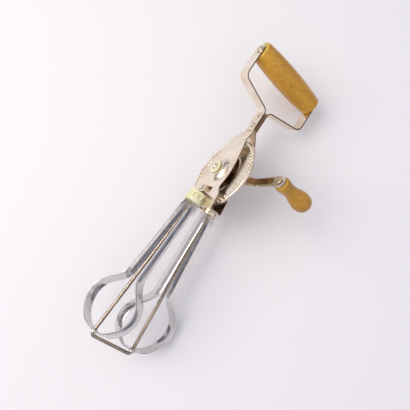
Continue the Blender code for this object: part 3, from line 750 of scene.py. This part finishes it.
@dataclass
class Handle:
    """The turned grip between its two bent straps."""

    wood: VarnishedWood
    strip_nickel: bpy.types.Material
    nickel: bpy.types.Material
    height: float = 270.6 * MM
    length: float = 73.6 * MM
    offset: float = 1.1 * MM
    middle_radius: float = 11.2 * MM
    end_radius: float = 9.2 * MM
    edge_round: float = 1.6 * MM
    bore: float = 2.7 * MM
    # The swell falls off to the ends with this power
    swell_power: float = 2.2
    steps: int = 36
    corner_steps: int = 6
    segments: int = 96

    def build(self) -> None:
        """Builds the grip and dresses the steel that holds it."""
        half = self.length / 2
        outline = []
        for step in range(self.steps + 1):
            place = -half + self.edge_round + (self.length - 2 * self.edge_round) * step / self.steps
            swell = 1 - abs(place / half) ** self.swell_power
            outline.append((self.end_radius + (self.middle_radius - self.end_radius) * swell, place))
        rim = outline[0][0] - self.edge_round
        corner = []
        for step in range(self.corner_steps):
            angle = math.pi / 2 * step / self.corner_steps
            across = rim + self.edge_round * math.sin(angle)
            corner.append((across, -half + self.edge_round * (1 - math.cos(angle))))
        far_corner = [(radius, -place) for radius, place in reversed(corner)]
        profile = [(self.bore, -half), *corner, *outline, *far_corner, (self.bore, half)]
        bm = revolve(profile, self.segments)
        bmesh.ops.transform(bm, matrix=along_y((0, self.offset, self.height)), verts=bm.verts[:])
        grip = make_object("turned_grip", bm)
        place_piece(grip, Body.FRAME, self.wood.material(), "handle_grip")
        for node in ("front_handle_strap", "rear_handle_strap"):
            dress(node, self.strip_nickel)
        dress("grip_rod", self.nickel)


@dataclass
class FramePlates:
    """The two pressed plates, their rivets and the bushes of the axle."""

    # Carries painted shade on the rear plate's inner face
    plate_nickel: bpy.types.Material
    nickel: bpy.types.Material
    nylon: bpy.types.Material

    def build(self) -> None:
        """Dresses the plates and what is fixed to them."""
        for node in ("front_frame_plate", "rear_frame_plate"):
            dress(node, self.plate_nickel)
        for node in ("neck_rivet_upper", "neck_rivet_lower", "rear_axle_bush"):
            dress(node, self.nickel)
        dress("front_axle_bush", self.nylon)


@dataclass
class DriveWheel:
    """The pressed drive wheel with a ring of round beads on each face, and its axle."""

    # Carries painted shade on the wheel's dished middle
    dished: bpy.types.Material
    nickel: bpy.types.Material
    height: float = AXLE_HEIGHT
    bead_circle: float = 31.7 * MM
    bead_count: int = 50
    bead_radius: float = 1.3 * MM
    bead_rise: float = 1.85 * MM
    bead_floor: float = 1.1 * MM
    bead_segments: Tuple[int, int] = (12, 8)
    bore: float = 2.7 * MM
    hub_radius: float = 6.0 * MM
    hub_face: float = 3.6 * MM
    hub_round: float = 0.3 * MM
    sharp: float = 40.0
    # Radius and half thickness in mm: hub fillet, dish, pressed step, bead track and rolled rim
    section: Tuple[Tuple[float, float], ...] = (
        (6.2, 1.6), (6.6, 0.9), (7.4, 0.6), (17.6, 0.6),
        (18.4, 0.66), (19.0, 0.85), (19.6, 1.12), (20.3, 1.28),
        (21.2, 1.32), (22.2, 1.22), (23.2, 1.1), (33.0, 1.1),
        (33.5, 1.08), (33.9, 0.95), (34.15, 0.7), (34.2, 0.4),
    )

    def build(self) -> None:
        """Builds the wheel and dresses its axle and washers."""
        half = [(self.bore, self.hub_face), (self.hub_radius - self.hub_round, self.hub_face)]
        half.append((self.hub_radius, self.hub_face - self.hub_round))
        half += [(radius * MM, thick * MM) for radius, thick in self.section]
        profile = [(radius, -thick) for radius, thick in half]
        profile += reversed(half)
        bm = revolve(profile, 3 * self.bead_count)
        self.add_beads(bm)
        bmesh.ops.transform(bm, matrix=along_y((0, 0, self.height)), verts=bm.verts[:])
        wheel = make_object("beaded_drive_wheel", bm, self.sharp)
        place_piece(wheel, Body.WHEEL, self.dished, "drive_wheel")
        for node in ("wheel_axle", "front_axle_washer", "rear_axle_washer"):
            dress(node, self.nickel)

    def add_beads(self, bm: bmesh.types.BMesh) -> None:
        """Adds the domed beads of both faces.

        Args:
            bm: the wheel's mesh, before it is turned onto its axle.
        """
        round_steps, height_steps = self.bead_segments
        for face in (-1, 1):
            for index in range(self.bead_count):
                angle = 2 * math.pi * index / self.bead_count
                away = Vector((math.sin(angle), math.cos(angle), 0)) * self.bead_circle
                place = Matrix.Translation(away + Vector((0, 0, face * self.bead_floor)))
                swell = Matrix.Diagonal((1.0, 1.0, self.bead_rise / self.bead_radius, 1.0))
                bmesh.ops.create_uvsphere(
                    bm, u_segments=round_steps, v_segments=height_steps, radius=self.bead_radius,
                    matrix=place @ swell,
                )


@dataclass
class Crank:
    """The cranked arm with its turned knob."""

    wood: VarnishedWood
    nickel: bpy.types.Material
    # The crank arm's nickel, with painted shade in its pressed recess
    worn: bpy.types.Material
    dull: bpy.types.Material
    radius: float = 46.5 * MM
    angle: float = CRANK_ANGLE
    end_y: float = 21.1 * MM
    wheel_height: float = AXLE_HEIGHT
    base: float = 2.4 * MM
    bore: float = 1.98 * MM
    sink_radius: float = 3.5 * MM
    sink: float = 2.8 * MM
    curve_steps: int = 5
    segments: int = 72
    # Radius and height of the knob's turned outline, in mm
    outline: Tuple[Tuple[float, float], ...] = (
        (5.9, 0.0), (6.7, 1.2), (6.6, 3.2), (6.0, 7.6), (5.8, 11.4), (6.6, 16.3), (7.9, 21.2),
        (8.6, 25.8), (8.1, 30.4), (6.4, 33.7), (4.2, 35.1),
    )

    def build(self) -> None:
        """Builds the knob and dresses arm, rivet and washers."""
        curve = smooth_through([Vector(point) for point in self.outline], self.curve_steps)
        turned = [(point.x * MM, self.base + point.y * MM) for point in curve]
        tip = turned[-1][1]
        profile = [(self.bore, self.base), *turned, (self.sink_radius, tip)]
        profile += [(self.sink_radius, tip - self.sink), (self.bore, tip - self.sink)]
        bm = revolve(profile, self.segments)
        across = self.radius * math.cos(self.angle)
        end = (across, self.end_y, self.wheel_height + self.radius * math.sin(self.angle))
        bmesh.ops.transform(bm, matrix=along_y(end), verts=bm.verts[:])
        knob = make_object("turned_knob", bm)
        place_piece(knob, Body.KNOB, self.wood.material(), "crank_knob")
        # The arm's nickel carries painted shade in its recess
        dress("crank_arm", self.worn)
        dress("knob_rivet", self.dull)
        for node in ("crank_washer", "knob_washer"):
            dress(node, self.nickel)


@dataclass
class GuideWire:
    """The U-shaped wire that the dashers turn on, with an upset head above each lug."""

    steel: bpy.types.Material
    radius: float = 1.5 * MM
    half_spread: float = 20.05 * MM
    top_half_spread: float = 9.2 * MM
    lug_height: float = 143.0 * MM
    end_height: float = 145.4 * MM
    head_base: float = 144.1 * MM
    head_radius: float = 2.3 * MM
    bend_radius: float = 2.8 * MM
    bend_steps: int = 12
    sides: int = 24
    # Place along the head and its radius, as parts of the head's height and radius
    head: Tuple[Tuple[float, float], ...] = (
        (0.0, 0.45), (0.06, 0.7), (0.2, 0.88), (0.45, 1.0), (0.9, 1.0), (1.0, 0.94),
    )
    # The head's underside runs in to the wire within this height
    head_step: float = 0.02 * MM

    @property
    def lean(self) -> float:
        """The angle at which each leg leans in towards the top."""
        return math.atan2(self.half_spread - self.top_half_spread, self.lug_height - self.radius)

    def build(self) -> None:
        """Builds the wire."""
        top = self.half_spread - (self.end_height - self.radius) * math.tan(self.lean)
        corners = [
            (-top, self.end_height), (-self.half_spread, self.radius), (self.half_spread, self.radius),
            (top, self.end_height),
        ]
        path = filleted(corners, self.bend_radius, self.bend_steps)
        down = (path[1] - path[0]).normalized()
        drop = (self.end_height - self.head_base) / -down.y
        spots = [path[0] + down * (drop * place) for place, _ in self.head]
        spots.append(path[0] + down * (drop + self.head_step))
        radii = [self.head_radius * part for _, part in self.head] + [self.radius]
        far = [Vector((-spot.x, spot.y)) for spot in reversed(spots)]
        route = spots + path[1:-1] + far
        sizes = radii + [self.radius] * (len(path) - 2) + list(reversed(radii))
        rings = []
        for point, heading, size in zip(route, headings(route), sizes):
            normal = Vector((-heading.y, heading.x))
            ring = []
            for side in range(self.sides):
                angle = 2 * math.pi * side / self.sides
                spot = point + normal * (size * math.cos(angle))
                ring.append(Vector((size * math.sin(angle), spot.x, spot.y)))
            rings.append(ring)
        wire = make_object("bent_guide_wire", sweep(rings))
        place_piece(wire, Body.FRAME, self.steel, "guide_wire")


@dataclass
class Dasher:
    """One dasher: a softly creased ribbon bent to two wings, driven by its pinion."""

    name: str
    side: int
    turn: float
    body: Body
    wire: GuideWire
    chrome: bpy.types.Material
    pinion_finish: bpy.types.Material
    width: float = 9.6 * MM
    tang_width: float = 8.0 * MM
    thickness: float = 0.8 * MM
    crown: float = 0.58 * MM
    # Half width of the crease's rounding, as part of the ribbon's half width
    crease: float = 0.18
    edge: float = 0.3 * MM
    # Distance from the wire and height along it, in mm
    top: Tuple[float, float] = (5.1, 133.1)
    shoulder: Tuple[float, float] = (8.3, 54.5)
    lobe: Tuple[Tuple[float, float], ...] = (
        (9.7, 52.7), (14.6, 47.2), (20.9, 42.2), (26.0, 36.4), (28.5, 29.6), (28.0, 22.4), (24.6, 15.4),
        (19.2, 9.8), (12.6, 5.8), (5.4, 4.2), (0.0, 3.9),
    )
    # Heights at which the straight leg and the start of its bend have a point
    leg_heights: Tuple[float, ...] = (133.1, 129.2, 128.8, 125.5, 122.0, 117.0, 100.0, 84.0, 68.0)
    bend_heights: Tuple[float, ...] = (61.0, 57.5)
    # Below tang_end the ribbon widens within tang_step, and its crease grows until flat_end
    tang_end: float = 128.8
    tang_step: float = 0.5
    flat_end: float = 117.0
    hole_radius: float = 2.65 * MM
    hole_span: Tuple[float, float] = (1.5 * MM, 6.5 * MM)
    across: int = 8
    curve_steps: int = 4
    sharp: float = 50.0

    def leg_point(self, height: float) -> Vector:
        """The point of the straight leg at a height along the wire, in mm."""
        part = (self.top[1] - height) / (self.top[1] - self.shoulder[1])
        return Vector((self.top[0] + (self.shoulder[0] - self.top[0]) * part, height))

    def path(self) -> List[Vector]:
        """Lays the ribbon's middle line.

        Returns:
            Its points in mm, from one tang round both wings to the other.
        """
        straight = [self.leg_point(height) for height in self.leg_heights]
        start = [self.leg_point(height) for height in self.bend_heights]
        bend = smooth_through([*start, *[Vector(point) for point in self.lobe]], self.curve_steps)
        half = straight + bend
        return half + [Vector((-point.x, point.y)) for point in reversed(half[:-1])]

    def section(self, height: float) -> List[Tuple[float, float]]:
        """The ribbon's cross-section at a height along the wire.

        Args:
            height: the height in mm.

        Returns:
            Points as place across the ribbon and offset from its middle line, in metres.
        """
        below = max(self.tang_end - height, 0.0)
        widened = min(below / self.tang_step, 1.0)
        rise = self.crown * min(below / (self.tang_end - self.flat_end), 1.0)
        half = (self.tang_width + (self.width - self.tang_width) * widened) / 2
        places = [2 * step / self.across - 1 for step in range(self.across + 1)]
        inset = half - self.edge
        # Two nearly flat flanks meet in a soft crease along the middle
        falls = [rise * (math.hypot(place, self.crease) - self.crease) for place in places]
        outer = [(place * inset, self.thickness / 2 - fall) for place, fall in zip(places, falls)]
        inner = [(-place * inset, -self.thickness / 2 - fall) for place, fall in zip(places, falls)]
        return [*outer, (half, -falls[-1]), *inner, (-half, -falls[0])]

    def build(self) -> None:
        """Builds the ribbon and dresses eyelet and pinion."""
        points = self.path()
        rings = []
        for point, heading in zip(points, headings(points)):
            normal = Vector((-heading.y, heading.x))
            ring = []
            for across, offset in self.section(point.y):
                spot = point * MM + normal * offset
                ring.append(Vector((across, spot.x, spot.y)))
            rings.append(ring)
        bm = sweep(rings)
        leg = wire_side(self.side, self.wire.lean, self.wire.half_spread, self.wire.radius)
        place = leg @ Matrix.Rotation(self.turn - math.pi / 2, 4, "Z")
        bmesh.ops.transform(bm, matrix=place, verts=bm.verts[:])
        ribbon = make_object(f"{self.name}_crowned_ribbon", bm, self.sharp)
        cut_hole(ribbon, self.hole_radius, *self.hole_span, place)
        place_piece(ribbon, self.body, self.chrome, f"{self.name}_dasher")
        dress(f"{self.name}_dasher_eyelet", self.chrome)
        dress(f"{self.name}_pinion", self.pinion_finish)


@dataclass
class Studio:
    """The table, the soft light and the camera of the picture."""

    table_normal: Point = (0.842, -0.540, 0.003)
    table_drop: float = -33.5 * MM
    table_size: float = 2.4
    lens: float = 42.28
    camera_place: Point = (0.34266, -0.20296, 0.07233)
    camera_right: Point = (0.50401, 0.67258, 0.54186)
    camera_up: Point = (-0.16705, -0.53961, 0.82517)
    table_tone: str = "#F2F0F4"
    key_watts: float = 15.2
    key_size: float = 1.25
    key_distance: float = 1.5
    # The room's strength as light, and as it is seen and mirrored
    room_light: float = 0.77
    room_shown: float = 0.92
    room_tone: str = "#F4F3F7"
    wall_radius: float = 1.0
    wall_height: float = 0.42
    wall_segments: int = 64
    # Tones of the wall by part of its height
    wall_tones: Tuple[Tuple[float, str], ...] = (
        (0.0, "#292C34"), (0.3, "#667084"), (0.65, "#9BA0AC"), (1.0, "#CFCFD4"),
    )
    # Lamp direction, as parts of towards the camera, left and up in the picture
    key_way: Tuple[float, float, float] = (0.75, 0.7, 0.34)
    key_tone: str = "#FFFBF4"

    def back(self) -> Vector:
        """The direction from the object to the camera."""
        return Vector(self.camera_right).cross(Vector(self.camera_up)).normalized()

    def build_camera(self) -> None:
        """Sets the camera at the picture's viewing angle, with its roll."""
        data = bpy.data.cameras.new("camera")
        data.lens = self.lens
        data.sensor_width = 36.0
        data.clip_start = 0.01
        camera = bpy.data.objects.new("camera", data)
        back = self.back()
        up = back.cross(Vector(self.camera_right)).normalized()
        right = up.cross(back)
        turn = Matrix((right, up, back)).transposed()
        camera.matrix_world = Matrix.Translation(self.camera_place) @ turn.to_4x4()
        bpy.context.scene.collection.objects.link(camera)
        bpy.context.scene.camera = camera

    def build_table(self) -> None:
        """Lays the pale table behind the beater; seen from behind it lets the eye pass."""
        bm = bmesh.new()
        bmesh.ops.create_grid(bm, x_segments=1, y_segments=1, size=self.table_size / 2)
        mesh = bpy.data.meshes.new("table")
        bm.to_mesh(mesh)
        bm.free()
        table = bpy.data.objects.new("table", mesh)
        normal = Vector(self.table_normal).normalized()
        centre = Vector((0, 0, MIDDLE_HEIGHT))
        centre += normal * (self.table_drop - centre.dot(normal))
        table.matrix_world = Matrix.Translation(centre) @ normal.to_track_quat("Z", "Y").to_matrix().to_4x4()
        bpy.context.scene.collection.objects.link(table)
        material, tree, shader = blank_material("painted_table_top")
        shader.inputs["Base Color"].default_value = linear(self.table_tone)
        shader.inputs["Roughness"].default_value = 0.6
        output = next(node for node in tree.nodes if node.type == "OUTPUT_MATERIAL")
        facing = add_node(tree, "ShaderNodeNewGeometry")
        clear = add_node(tree, "ShaderNodeBsdfTransparent")
        mix = add_node(tree, "ShaderNodeMixShader", Fac=facing.outputs["Backfacing"])
        tree.links.new(shader.outputs["BSDF"], mix.inputs[1])
        tree.links.new(clear.outputs["BSDF"], mix.inputs[2])
        tree.links.new(mix.outputs["Shader"], output.inputs["Surface"])
        mesh.materials.append(material)

    def build_wall(self) -> None:
        """Stands a dark low wall round the table for the metal to mirror."""
        normal = Vector(self.table_normal).normalized()
        start = normal.orthogonal().normalized() * self.wall_radius
        bm = bmesh.new()
        foot = bm.verts.new(start)
        head = bm.verts.new(start + normal * self.wall_height)
        edge = bm.edges.new((foot, head))
        bmesh.ops.spin(
            bm, geom=[foot, head, edge], cent=(0, 0, 0), axis=normal, angle=2 * math.pi,
            steps=self.wall_segments, use_merge=True,
        )
        mesh = bpy.data.meshes.new("dark_wall")
        bm.to_mesh(mesh)
        bm.free()
        wall = bpy.data.objects.new("dark_wall", mesh)
        wall.location = normal * self.table_drop + Vector((0, 0, MIDDLE_HEIGHT))
        wall.visible_camera = False
        bpy.context.scene.collection.objects.link(wall)
        material, tree, shader = blank_material("dark_wall_paint")
        place = add_node(tree, "ShaderNodeTexCoord").outputs["Object"]
        height = add_node(
            tree, "ShaderNodeVectorMath", {"operation": "DOT_PRODUCT", "1": normal}, input0=place
        )
        part = between(tree, height.outputs["Value"], 0.0, self.wall_height)
        tone = ramp(tree, part, self.wall_tones)
        tree.links.new(tone.outputs["Color"], shader.inputs["Base Color"])
        shader.inputs["Roughness"].default_value = 0.8
        mesh.materials.append(material)

    def build_lamp(self, name: str, direction: Vector) -> None:
        """Adds a square soft lamp that looks at the beater.

        Args:
            name: the lamp's name.
            direction: from the beater towards the lamp.
        """
        data = bpy.data.lights.new(name, "AREA")
        data.energy = self.key_watts
        data.size = self.key_size
        data.color = linear(self.key_tone)[:3]
        lamp = bpy.data.objects.new(name, data)
        way = direction.normalized()
        lamp.location = Vector((0, 0, MIDDLE_HEIGHT)) + way * self.key_distance
        lamp.rotation_mode = "QUATERNION"
        lamp.rotation_quaternion = way.to_track_quat("Z", "Y")
        bpy.context.scene.collection.objects.link(lamp)

    def build_world(self) -> None:
        """Makes the pale room round the table."""
        world = bpy.data.worlds.new("room")
        bpy.context.scene.world = world
        world.use_nodes = True
        tree = world.node_tree
        tree.nodes.clear()
        path = add_node(tree, "ShaderNodeLightPath")
        seen = arithmetic(tree, "MAXIMUM", path.outputs["Is Camera Ray"], path.outputs["Is Glossy Ray"])
        shown = arithmetic(tree, "MAXIMUM", seen, path.outputs["Is Transmission Ray"])
        strength = between(tree, shown, 0.0, 1.0, self.room_light, self.room_shown)
        light = add_node(tree, "ShaderNodeBackground", {"Color": linear(self.room_tone)}, Strength=strength)
        add_node(tree, "ShaderNodeOutputWorld", Surface=light.outputs["Background"])

    def build(self) -> None:
        """Builds camera, table, wall, lamp and room."""
        self.build_camera()
        self.build_table()
        self.build_wall()
        forward, left, upward = self.key_way
        key = self.back() * forward - Vector(self.camera_right) * left + Vector(self.camera_up) * upward
        self.build_lamp("soft_key", key)
        self.build_world()
        bpy.context.scene.view_settings.view_transform = "Standard"
        log.info("studio built")


def main() -> None:
    """Builds the dressing and the studio."""
    logging.basicConfig(level=logging.INFO, format="%(name)s: %(message)s")
    nickel = PlatedSteel().material()
    cut_edge = CutEdge("#80644F")
    strip_nickel = PlatedSteel("sheared_nickel_strip", soils_and_shades=(cut_edge,)).material()
    # The plates' nickel, with painted shade on the rear plate's inner face
    gap_shaded_plate = PlatedSteel("plate_nickel_gap_shade", soils_and_shades=(cut_edge, InnerFaceShade("#7D6750"))).material()
    # The wheel's nickel, with painted shade within the pressed step
    dished = PlatedSteel("wheel_nickel_dish_shade", roughness=0.22, soils_and_shades=(DishShade("#826A4E"),)).material()
    # The crank arm's nickel: darker clouds than the rest, and painted shade in its pressed recess
    arm_recess_shade = ArmRecessShade("#B08E64")
    worn = PlatedSteel("arm_nickel_recess_shade", "#F3E6D4", "#BFA98A", 0.3, 5.0, soils_and_shades=(arm_recess_shade,)).material()
    dull = PlatedSteel("dulled_nickel_head", "#EEE0C6", "#A3937A", 0.4, 1.8).material()
    chrome = ChromedStrip().material()
    nylon = MouldedNylon().material()
    grip_wood = VarnishedWood("varnished_beech_grip", (0, 1.1 * MM, 270.6 * MM), 36.8)
    knob_wood = VarnishedWood(
        "varnished_beech_knob", (44.7 * MM, 40.4 * MM, 181.0 * MM), 16.9,
        light="#DDAC44", middle="#C6922C", dark="#9C6F18", end="#C9A545",
    )
    Handle(grip_wood, strip_nickel, nickel).build()
    FramePlates(gap_shaded_plate, nickel, nylon).build()
    DriveWheel(dished, nickel).build()
    Crank(knob_wood, nickel, worn, dull).build()
    wire = GuideWire(DrawnWire().material())
    wire.build()
    Dasher("front", -1, math.radians(16.0), Body.FRONT, wire, chrome, nylon).build()
    Dasher("rear", 1, math.radians(101.0), Body.REAR, wire, chrome, nickel).build()
    Studio().build()


if __name__ == "__main__":
    main()
